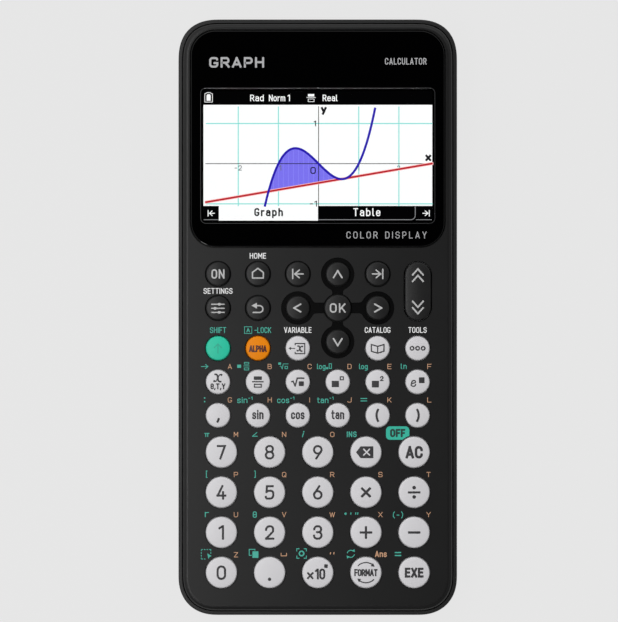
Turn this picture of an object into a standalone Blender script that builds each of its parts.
"""Graphing calculator, lying on its back with the keys facing up.

Frame: +X across the body to the right, +Y towards the display end, +Z up through the face.
The origin is on the resting plane, under the middle of the body. Dimensions are in
millimetres and are scaled to metres where a mesh is made.
"""

import math

import bmesh
import bpy

MM = 0.001

# ---- driving dimensions ------------------------------------------------------------------
WIDTH = 88.4
LENGTH = 189.0
FOOT_HEIGHT = 0.4
FACE_Z = 17.3
KEY_TOP_Z = 18.6
CELL_DIAMETER = 10.3
CELL_LENGTH = 44.5
KEY_TRAVEL = 0.8
GAP = 0.3

# ---- body shells -------------------------------------------------------------------------
TOP_CORNER = (13.3, 2.5)
BOTTOM_CORNER = (12.4, 2.27)
CORNER_STEPS = 6
RIM_Z = 15.3
RIM_WIDTH = 1.15
REAR_WALL = 1.9
REAR_FLOOR_Z = 2.0
LIP_Z = 12.4
FRONT_INSET = RIM_WIDTH + GAP
SHOULDER = 1.6
SKIRT = 1.1
PLATE_Z = FACE_Z - 0.95
BOSS_SPLIT_Z = 12.75
SCREWS = [(sx * x, y) for x, y in ((38.0, 84.5), (38.3, -3.0), (37.6, -86.0)) for sx in (-1, 1)]
SCREW_HEAD_RADIUS = 2.3
BOSS_RADIUS = 2.2
FEET = [(sx * 33.0, y) for y in (-78.0, 78.0) for sx in (-1, 1)]
FOOT_RADIUS = 4.5

# ---- display -----------------------------------------------------------------------------
WINDOW_SIZE = (80.35, 68.4)
WINDOW_Y = 56.57
WINDOW_CORNER = 7.7
WINDOW_THICKNESS = 1.5
LEDGE_THICKNESS = 0.8
SCREEN_Y = 51.2
APERTURE = (75.4, 44.0)
LCD_SIZE = (78.4, 50.0)
LCD_THICKNESS = 3.2
LCD_OFFSET_Y = -2.5

# ---- key mat and board -------------------------------------------------------------------
BOARD_HALF_WIDTH = 35.9
BOARD_Y = (-89.0, 21.0)
BOARD_CORNER = (7.0, 2.0)
BOARD_Z = 13.35
BOARD_THICKNESS = 0.8
MAT_Y = (-88.0, 20.0)
MAT_THICKNESS = 0.5
MAT_Z = BOARD_Z + BOARD_THICKNESS + 0.25
PEGS = [(sx * 25.2, y) for y in (8.3, -37.0) for sx in (-1, 1)]
PEG_RADIUS = 0.9

# ---- keys --------------------------------------------------------------------------------
KEY_FACETS = 12
HOLE_CLEARANCE = 0.25
FLANGE_LIP = 0.4
FLANGE_THICKNESS = 0.4
FLANGE_Z = PLATE_Z - 0.2 - FLANGE_THICKNESS
KEY_CHAMFER = 0.45
SMALL_KEY = 7.6
ARROW_KEY = 7.5
OK_KEY = 8.45
LARGE_KEY = 9.8
LEFT_COLUMN = -31.6
COLUMN_PITCH = 12.64
LARGE_COLUMN_PITCH = 15.26
ROW_Y = (13.7, 2.92, -9.83, -20.49, -31.08, -42.75, -55.46, -68.15, -80.87)
PAD_CENTRE = (6.32, 2.92)
ARROW_REACH = 10.7
ROCKER_SIZE = (8.25, 18.45)
ROCKER_CENTRE = (31.7, 8.2)
ROCKER_PIVOT_Z = 16.0
RECESS_RADIUS = 5.3
RECESS_BAR = 3.4
RECESS_DEPTH = 0.4

# ---- battery bay -------------------------------------------------------------------------
CELL_PITCH = 10.8
CELL_Z = 7.05
BAY_HALF_WIDTH = 21.9
BAY_Y = (-54.6, -4.6)
BAY_WALL = 1.2
BAY_CEILING_Z = (12.5, 13.1)
COVER_HALF_WIDTH = 25.0
COVER_Y = (-58.0, -1.0)
COVER_CORNER = 3.0
COVER_THICKNESS = 1.2
COVER_LEDGE_Z = FOOT_HEIGHT + COVER_THICKNESS + 0.25
TAB_X = 12.0
TAB_HALF_WIDTH = 4.0
TAB_REACH = 2.2
LATCH_HALF_WIDTH = 5.0
LATCH_HEIGHT = 4.2

# ---- openings in the rear shell ----------------------------------------------------------
PORT_SIZE = (10.6, 5.2)
PORT_Z = 8.0
RESET_HOLE = (14.0, 24.0)

KEY_ROWS = (
    ("on", "home", "jump_back", None, "jump_forward"),
    ("settings", "return"),
    ("shift", "alpha", "variable", None, "catalog", "tools"),
    ("x_theta_t", "fraction", "root", "power", "square", "exponential"),
    ("comma", "sine", "cosine", "tangent", "bracket_open", "bracket_close"),
    ("7", "8", "9", "delete", "all_clear"),
    ("4", "5", "6", "multiply", "divide"),
    ("1", "2", "3", "plus", "minus"),
    ("0", "point", "times_ten", "format", "execute"),
)
FIRST_LARGE_ROW = 5


# ---- outlines ----------------------------------------------------------------------------
def corner(centre, radius, exponent, quadrant, steps):
    """Points of one superellipse corner, counter-clockwise, starting at quadrant times 90 degrees."""
    points = []
    for i in range(steps + 1):
        angle = math.radians(90.0 * (quadrant + i / steps))
        c, s = math.cos(angle), math.sin(angle)
        x = centre[0] + radius * math.copysign(abs(c) ** (2.0 / exponent), c)
        y = centre[1] + radius * math.copysign(abs(s) ** (2.0 / exponent), s)
        points.append((x, y))
    return points


def outline(half_width, y_range, low, high, steps=CORNER_STEPS, x=0.0):
    """A counter-clockwise rectangle; low and high are the (radius, exponent) of its end corners."""
    y_low, y_high = y_range
    points = []
    for quadrant, side in ((3, 1), (0, 1), (1, -1), (2, -1)):
        radius, exponent = high if quadrant in (0, 1) else low
        y = y_high - radius if quadrant in (0, 1) else y_low + radius
        centre = (x + side * (half_width - radius), y)
        points += corner(centre, radius, exponent, quadrant, steps)
    return points


def body_outline(inset):
    low = (BOTTOM_CORNER[0] - inset, BOTTOM_CORNER[1])
    high = (TOP_CORNER[0] - inset, TOP_CORNER[1])
    half = LENGTH / 2 - inset
    return outline(WIDTH / 2 - inset, (-half, half), low, high)


def rounded(half_width, y_range, radius, steps=4, x=0.0):
    return outline(half_width, y_range, (radius, 2.0), (radius, 2.0), steps, x)


def circle(centre, radius, facets=KEY_FACETS):
    """A regular polygon drawn so that its flats, not its corners, face the axes."""
    turns = [2.0 * math.pi * (i + 0.5) / facets for i in range(facets)]
    return [(centre[0] + radius * math.cos(t), centre[1] + radius * math.sin(t)) for t in turns]


def box_outline(x_range, y_range):
    (x0, x1), (y0, y1) = x_range, y_range
    return [(x0, y0), (x1, y0), (x1, y1), (x0, y1)]


# ---- solids ------------------------------------------------------------------------------
def add_loft(bm, levels):
    """Adds one closed body through rings of (x, y, z), capped at its first and last ring."""
    rings = [[bm.verts.new((x * MM, y * MM, z * MM)) for x, y, z in ring] for ring in levels]
    for lower, upper in zip(rings, rings[1:]):
        for i in range(len(lower)):
            j = (i + 1) % len(lower)
            bm.faces.new((lower[i], lower[j], upper[j], upper[i]))
    bm.faces.new(list(reversed(rings[0])))
    bm.faces.new(rings[-1])


def mesh_of(name, bodies):
    """One mesh from a list of bodies, each a list of rings."""
    bm = bmesh.new()
    for levels in bodies:
        add_loft(bm, levels)
    bmesh.ops.recalc_face_normals(bm, faces=bm.faces)
    mesh = bpy.data.meshes.new(name)
    bm.to_mesh(mesh)
    bm.free()
    return mesh


def stacked(levels):
    """Rings of a body given as (outline, z) from one end to the other."""
    return [[(x, y, z) for x, y in points] for points, z in levels]


def prism(points, z_range):
    return stacked([(points, z) for z in z_range])


def bar_along_x(profile, x_range):
    """A bar whose section is a profile of (y, z)."""
    return [[(x, y, z) for y, z in profile] for x in x_range]


def add_object(name, mesh, surface=None, at=(0.0, 0.0, 0.0)):
    node = bpy.data.objects.new(name, mesh)
    bpy.context.scene.collection.objects.link(node)
    node.location = [v * MM for v in at]
    if surface and not mesh.materials:
        mesh.materials.append(surface)
    mesh.shade_smooth()
    mesh.set_sharp_from_angle(angle=math.radians(35.0))
    return node


def shape(node, operation, label, bodies, overlapping=False):
    """Joins or cuts node with a hidden helper made of bodies."""
    helper = add_object(f"{node.name}_{label}", mesh_of(label, bodies))
    helper.location = node.location
    helper.hide_render = True
    helper.display_type = "WIRE"
    boolean = node.modifiers.new(label, "BOOLEAN")
    boolean.operation = operation
    boolean.solver = "EXACT"
    boolean.use_self = overlapping
    boolean.object = helper


def material(name, colour, roughness, metallic=0.0):
    made = bpy.data.materials.new(name)
    made.use_nodes = True
    shader = made.node_tree.nodes["Principled BSDF"]
    shader.inputs["Base Color"].default_value = (*colour, 1.0)
    shader.inputs["Roughness"].default_value = roughness
    shader.inputs["Metallic"].default_value = metallic
    return made


# ---- keys --------------------------------------------------------------------------------
def key_places():
    """Yields (name, x, y, diameter) of every push key."""
    for row, names in enumerate(KEY_ROWS):
        large = row >= FIRST_LARGE_ROW
        pitch = LARGE_COLUMN_PITCH if large else COLUMN_PITCH
        first = -2.0 * LARGE_COLUMN_PITCH if large else LEFT_COLUMN
        for column, name in enumerate(names):
            if name:
                diameter = LARGE_KEY if large else SMALL_KEY
                yield name, first + column * pitch, ROW_Y[row], diameter
    yield "ok", *PAD_CENTRE, OK_KEY
    for name, (x, y) in arrow_places().items():
        yield name, x, y, ARROW_KEY


def arrow_places():
    x, y = PAD_CENTRE
    return {
        "up": (x, y + ARROW_REACH),
        "down": (x, y - ARROW_REACH),
        "left": (x - COLUMN_PITCH, y),
        "right": (x + COLUMN_PITCH, y),
    }


def key_mesh(diameter):
    """A cap with a retaining flange under the face; its own origin is on its axis at the flange."""
    radius = diameter / 2
    flange = circle((0, 0), radius + HOLE_CLEARANCE + FLANGE_LIP)
    side = circle((0, 0), radius)
    top = KEY_TOP_Z - FLANGE_Z
    levels = [
        (flange, 0.0),
        (flange, FLANGE_THICKNESS),
        (side, FLANGE_THICKNESS),
        (side, top - KEY_CHAMFER),
        (circle((0, 0), radius - KEY_CHAMFER), top),
    ]
    return mesh_of(f"key_{diameter:g}", [stacked(levels)])


def rocker_outline(grow):
    half_width = ROCKER_SIZE[0] / 2 + grow
    half_length = ROCKER_SIZE[1] / 2 + grow
    return rounded(half_width, (-half_length, half_length), half_width - 0.01, 6)


def make_keys(surfaces):
    meshes = {}
    finish = {"shift": "teal", "alpha": "orange"}
    dark = ("on", "home", "jump_back", "jump_forward", "settings", "return")
    finish.update({name: "dark" for name in dark + ("ok", "up", "down", "left", "right")})
    for name, x, y, diameter in key_places():
        kind = finish.get(name, "light")
        if (diameter, kind) not in meshes:
            meshes[diameter, kind] = key_mesh(diameter)
        add_object(f"key_{name}", meshes[diameter, kind], surfaces[kind], (x, y, FLANGE_Z))


def make_page_rocker(surface):
    """One long cap over two switches; it tilts about the pins at its middle."""
    base = FLANGE_Z - 0.2 - ROCKER_PIVOT_Z
    top = KEY_TOP_Z - ROCKER_PIVOT_Z
    levels = [
        (rocker_outline(0.0), base),
        (rocker_outline(0.0), top - KEY_CHAMFER),
        (rocker_outline(-KEY_CHAMFER), top),
    ]
    rocker = add_object("key_page_rocker", mesh_of("page_rocker", [stacked(levels)]), surface,
                        (*ROCKER_CENTRE, ROCKER_PIVOT_Z))
    ear = ROCKER_SIZE[0] / 2 + HOLE_CLEARANCE + FLANGE_LIP
    pins = prism(box_outline((-ear, ear), (-1.6, 1.6)), (base + 0.3, base + 0.3 + FLANGE_THICKNESS))
    shape(rocker, "UNION", "pins", [pins])


# ---- front shell and what it carries -----------------------------------------------------
def window_outline(grow):
    half_width = WINDOW_SIZE[0] / 2 + grow
    half_length = WINDOW_SIZE[1] / 2 + grow
    y_range = (WINDOW_Y - half_length, WINDOW_Y + half_length)
    return rounded(half_width, y_range, WINDOW_CORNER + grow, CORNER_STEPS)


def centred_box(size, y, z_range):
    half_width, half_length = size[0] / 2, size[1] / 2
    points = box_outline((-half_width, half_width), (y - half_length, y + half_length))
    return prism(points, z_range)


def shoulder_levels():
    """The quarter round from the flat face down to the skirt."""
    levels = []
    for i in range(5):
        angle = math.radians(90.0 * i / 4)
        inset = FRONT_INSET + SHOULDER * (1.0 - math.sin(angle))
        z = FACE_Z - SHOULDER * (1.0 - math.cos(angle))
        levels.append((body_outline(inset), z))
    return levels


def navigation_recess():
    """A shallow cross of four rings and two bars that the arrow keys stand in."""
    z_range = (FACE_Z - RECESS_DEPTH, FACE_Z + 1.0)
    bodies = [prism(circle(at, RECESS_RADIUS, 24), z_range) for at in arrow_places().values()]
    x, y = PAD_CENTRE
    bar = RECESS_BAR / 2
    across = box_outline((x - COLUMN_PITCH, x + COLUMN_PITCH), (y - bar, y + bar))
    along = box_outline((x - bar, x + bar), (y - ARROW_REACH, y + ARROW_REACH))
    return bodies + [prism(across, z_range), prism(along, z_range)]


def make_front_case(surface):
    ledge_z = FACE_Z - WINDOW_THICKNESS - GAP
    skirt_inner = body_outline(FRONT_INSET + SKIRT)
    levels = shoulder_levels()
    levels.append((body_outline(FRONT_INSET), BOSS_SPLIT_Z))
    levels += [(skirt_inner, BOSS_SPLIT_Z), (skirt_inner, PLATE_Z)]
    case = add_object("front_case", mesh_of("front_case", [stacked(levels)]), surface)

    pan_half = WIDTH / 2 - FRONT_INSET - SKIRT / 2
    pan_y = (WINDOW_Y - WINDOW_SIZE[1] / 2 - 1.5, LENGTH / 2 - FRONT_INSET - SKIRT / 2)
    pan = outline(pan_half, pan_y, (1.0, 2.0), (TOP_CORNER[0] - 2.0, TOP_CORNER[1]))
    shape(case, "UNION", "window_pan", [prism(pan, (ledge_z - LEDGE_THICKNESS, PLATE_Z + 0.4))])
    posts = [prism(circle(at, PEG_RADIUS, 8), (BOARD_Z - 0.1, PLATE_Z + 0.3)) for at in PEGS]
    for at in SCREWS:
        under_window = at[1] > WINDOW_Y
        top = ledge_z - GAP if under_window else PLATE_Z + GAP
        posts.append(prism(circle(at, BOSS_RADIUS, 12), (BOSS_SPLIT_Z + GAP / 2, top)))
    shape(case, "UNION", "posts", posts)

    holes = [prism(circle((x, y), d / 2 + HOLE_CLEARANCE), (PLATE_Z - 1.0, FACE_Z + 1.0))
             for _, x, y, d in key_places()]
    rocker = [(x + ROCKER_CENTRE[0], y + ROCKER_CENTRE[1]) for x, y in rocker_outline(HOLE_CLEARANCE)]
    holes.append(prism(rocker, (PLATE_Z - 1.0, FACE_Z + 1.0)))
    shape(case, "DIFFERENCE", "navigation_recess", navigation_recess(), overlapping=True)
    shape(case, "DIFFERENCE", "key_holes", holes)
    shape(case, "DIFFERENCE", "window_recess", [prism(window_outline(GAP), (ledge_z, FACE_Z + 1.0))])
    shape(case, "DIFFERENCE", "aperture", [centred_box(APERTURE, SCREEN_Y, (BOSS_SPLIT_Z, FACE_Z))])
    pilots = [prism(circle(at, 0.9, 8), (BOSS_SPLIT_Z - 1.0, BOSS_SPLIT_Z + 1.9)) for at in SCREWS]
    shape(case, "DIFFERENCE", "screw_pilots", pilots)


def make_display(window_surface, lcd_surface):
    bottom = FACE_Z - WINDOW_THICKNESS
    levels = [(window_outline(0.0), bottom), (window_outline(0.0), FACE_Z - 0.2),
              (window_outline(-0.2), FACE_Z)]
    add_object("display_window", mesh_of("display_window", [stacked(levels)]), window_surface)

    top = FACE_Z - WINDOW_THICKNESS - GAP - LEDGE_THICKNESS - GAP
    half_width = LCD_SIZE[0] / 2
    centre_y = SCREEN_Y + LCD_OFFSET_Y
    y_range = (centre_y - LCD_SIZE[1] / 2, centre_y + LCD_SIZE[1] / 2)
    frame = rounded(half_width, y_range, 1.0, 3)
    glass = rounded(half_width - 1.4, (y_range[0] + 1.4, y_range[1] - 1.4), 0.5, 3)
    levels = [(frame, top - LCD_THICKNESS), (frame, top), (glass, top), (glass, top - 0.3)]
    add_object("lcd_module", mesh_of("lcd_module", [stacked(levels)]), lcd_surface)


def make_key_mat(surface):
    points = outline(BOARD_HALF_WIDTH, MAT_Y, BOARD_CORNER, (2.0, 2.0), 4)
    z_range = (MAT_Z, MAT_Z + MAT_THICKNESS)
    mat = add_object("rubber_keypad", mesh_of("rubber_keypad", [prism(points, z_range)]), surface)
    pegs = [prism(circle(at, PEG_RADIUS + GAP, 8), (MAT_Z - 1.0, MAT_Z + 2.0)) for at in PEGS]
    shape(mat, "DIFFERENCE", "peg_holes", pegs)


def make_board(surface):
    points = outline(BOARD_HALF_WIDTH, BOARD_Y, BOARD_CORNER, (2.0, 2.0), 4)
    z_range = (BOARD_Z, BOARD_Z + BOARD_THICKNESS)
    board = add_object("main_board", mesh_of("main_board", [prism(points, z_range)]), surface)
    pegs = [prism(circle(at, PEG_RADIUS + GAP, 8), (BOARD_Z - 1.0, BOARD_Z + 2.0)) for at in PEGS]
    shape(board, "DIFFERENCE", "peg_holes", pegs)


# ---- rear shell, battery bay and cover ---------------------------------------------------
def make_rear_case(surface):
    back = FOOT_HEIGHT
    sides = ((3.4, back), (2.1, back + 0.45), (1.1, back + 1.5), (0.45, back + 3.6),
             (0.0, 11.5), (0.0, RIM_Z - 0.55), (0.4, RIM_Z))
    levels = [(body_outline(inset), z) for inset, z in sides]
    levels += [(body_outline(RIM_WIDTH), RIM_Z), (body_outline(RIM_WIDTH), LIP_Z)]
    levels += [(body_outline(REAR_WALL), LIP_Z), (body_outline(REAR_WALL + 0.2), 4.0),
               (body_outline(REAR_WALL + 1.2), REAR_FLOOR_Z)]
    case = add_object("rear_case", mesh_of("rear_case", [stacked(levels)]), surface)

    wall = BAY_HALF_WIDTH + BAY_WALL
    bay_box = box_outline((-wall, wall), (BAY_Y[0] - BAY_WALL, BAY_Y[1] + BAY_WALL))
    shape(case, "UNION", "bay_walls", [prism(bay_box, (1.0, BAY_CEILING_Z[1]))])
    rim = COVER_HALF_WIDTH + 2.0
    rim_box = box_outline((-rim, rim), (COVER_Y[0] - 2.0, COVER_Y[1] + 2.0))
    shape(case, "UNION", "cover_ledge", [prism(rim_box, (1.2, COVER_LEDGE_Z + 1.15))])
    bosses = [prism(circle(at, BOSS_RADIUS + 1.0, 12), (1.4, BOSS_SPLIT_Z - GAP / 2)) for at in SCREWS]
    feet = [prism(circle(at, FOOT_RADIUS, 16), (0.0, 1.5)) for at in FEET]
    shape(case, "UNION", "bosses_and_feet", bosses + feet)

    pocket = rounded(COVER_HALF_WIDTH + GAP, (COVER_Y[0] - GAP, COVER_Y[1] + GAP), COVER_CORNER)
    shape(case, "DIFFERENCE", "cover_pocket", [prism(pocket, (-1.0, COVER_LEDGE_Z))])
    bay = box_outline((-BAY_HALF_WIDTH, BAY_HALF_WIDTH), BAY_Y)
    shape(case, "DIFFERENCE", "bay", [prism(bay, (-1.0, BAY_CEILING_Z[0]))])
    slots = []
    for side in (-1, 1):
        x_range = (side * TAB_X - TAB_HALF_WIDTH - GAP, side * TAB_X + TAB_HALF_WIDTH + GAP)
        y_range = (COVER_Y[0] - TAB_REACH - 0.7, COVER_Y[0] + 2.2)
        slots.append(prism(box_outline(x_range, y_range), (COVER_LEDGE_Z - GAP, 5.0)))
    latch = LATCH_HALF_WIDTH + GAP
    slots.append(prism(box_outline((-latch, latch), (COVER_Y[1] - 3.2, COVER_Y[1] - 0.4)), (1.0, 5.0)))
    shape(case, "DIFFERENCE", "tab_slots", slots)
    heads = [prism(circle(at, SCREW_HEAD_RADIUS, 12), (-1.0, 3.4)) for at in SCREWS]
    shape(case, "DIFFERENCE", "screw_heads", heads)
    shanks = [prism(circle(at, 1.3, 8), (3.0, BOSS_SPLIT_Z + 1.0)) for at in SCREWS]
    shape(case, "DIFFERENCE", "screw_holes", shanks)
    shape(case, "DIFFERENCE", "link_port", [port_slot()])
    shape(case, "DIFFERENCE", "reset_hole", [prism(circle(RESET_HOLE, 0.9, 8), (-1.0, 3.0))])


def port_slot():
    """The slot for the data cable, through the wall at the display end."""
    half_width, half_height = PORT_SIZE[0] / 2, PORT_SIZE[1] / 2
    y_low, y_high = LENGTH / 2 - REAR_WALL - 1.0, LENGTH / 2 + 1.0
    levels = []
    for height, inset in ((-1.0, 1.2), (-0.65, 0.35), (0.0, 0.0), (0.65, 0.35), (1.0, 1.2)):
        x_range = (-half_width + inset, half_width - inset)
        levels.append((box_outline(x_range, (y_low, y_high)), PORT_Z + height * half_height))
    return stacked(levels)


def make_battery_cover(surface):
    """Cover with two hooked tabs at one end and a latch tongue at the other.

    Its own origin is on the line it tilts about, at its outer edge by the tabs.
    """
    hinge = (0.0, COVER_Y[0] - GAP / 2, FOOT_HEIGHT)
    near = GAP / 2
    far = COVER_Y[1] - hinge[1]
    plate = rounded(COVER_HALF_WIDTH, (near, far), COVER_CORNER)
    eased = rounded(COVER_HALF_WIDTH - 0.25, (near + 0.25, far - 0.25), COVER_CORNER - 0.25)
    levels = [(eased, 0.0), (plate, 0.25), (plate, COVER_THICKNESS)]
    cover = add_object("battery_cover", mesh_of("battery_cover", [stacked(levels)]), surface, hinge)

    root = COVER_THICKNESS
    hook = [(near + 0.3, root - 0.4), (near + 1.1, root - 0.4), (near + 1.1, root + 1.1),
            (near - TAB_REACH, root + 1.1), (near - TAB_REACH, root + 0.3), (near + 0.3, root + 0.3)]
    parts = []
    for side in (-1, 1):
        x_range = (side * TAB_X - TAB_HALF_WIDTH, side * TAB_X + TAB_HALF_WIDTH)
        parts.append(bar_along_x(hook, x_range))
    latch = box_outline((-LATCH_HALF_WIDTH, LATCH_HALF_WIDTH), (far - 2.6, far - 1.0))
    parts.append(prism(latch, (root - 0.4, LATCH_HEIGHT)))
    shape(cover, "UNION", "tabs_and_latch", parts)


def make_cells(surface):
    """Four AAA cells side by side, each turned end for end from the one beside it."""
    radius = CELL_DIAMETER / 2
    half = CELL_LENGTH / 2
    profile = ((radius - 0.5, -half), (radius, -half + 0.5), (radius, half - 1.3),
               (radius - 0.5, half - 0.9), (1.9, half - 0.9), (1.9, half))
    levels = [(circle((0, 0), r), distance) for r, distance in profile]
    centre_y = (BAY_Y[0] + BAY_Y[1]) / 2
    mesh = mesh_of("battery_cell", [stacked(levels)])
    for i in range(4):
        at = ((i - 1.5) * CELL_PITCH, centre_y, CELL_Z)
        cell = add_object(f"battery_cell_{i + 1}", mesh, surface, at)
        cell.rotation_euler.x = math.radians(90.0 if i % 2 else -90.0)


def main():
    for leftover in list(bpy.data.objects):
        bpy.data.objects.remove(leftover, do_unlink=True)

    case_black = material("case_black", (0.026, 0.026, 0.027), 0.55)
    rear_black = material("rear_black", (0.022, 0.022, 0.023), 0.6)
    key_surfaces = {
        "light": material("key_light_grey", (0.68, 0.68, 0.69), 0.45),
        "dark": material("key_dark_grey", (0.05, 0.052, 0.055), 0.4),
        "teal": material("key_teal", (0.03, 0.5, 0.38), 0.4),
        "orange": material("key_orange", (0.72, 0.27, 0.02), 0.4),
    }
    make_front_case(case_black)
    make_display(material("window_black", (0.004, 0.004, 0.005), 0.05),
                 material("lcd_steel", (0.5, 0.5, 0.52), 0.35, 1.0))
    make_key_mat(material("silicone_grey", (0.25, 0.25, 0.26), 0.7))
    make_board(material("board_green", (0.02, 0.16, 0.06), 0.4))
    make_rear_case(rear_black)
    make_battery_cover(rear_black)
    make_cells(material("cell_sleeve", (0.1, 0.1, 0.11), 0.35, 0.4))
    make_keys(key_surfaces)
    make_page_rocker(key_surfaces["dark"])


main()
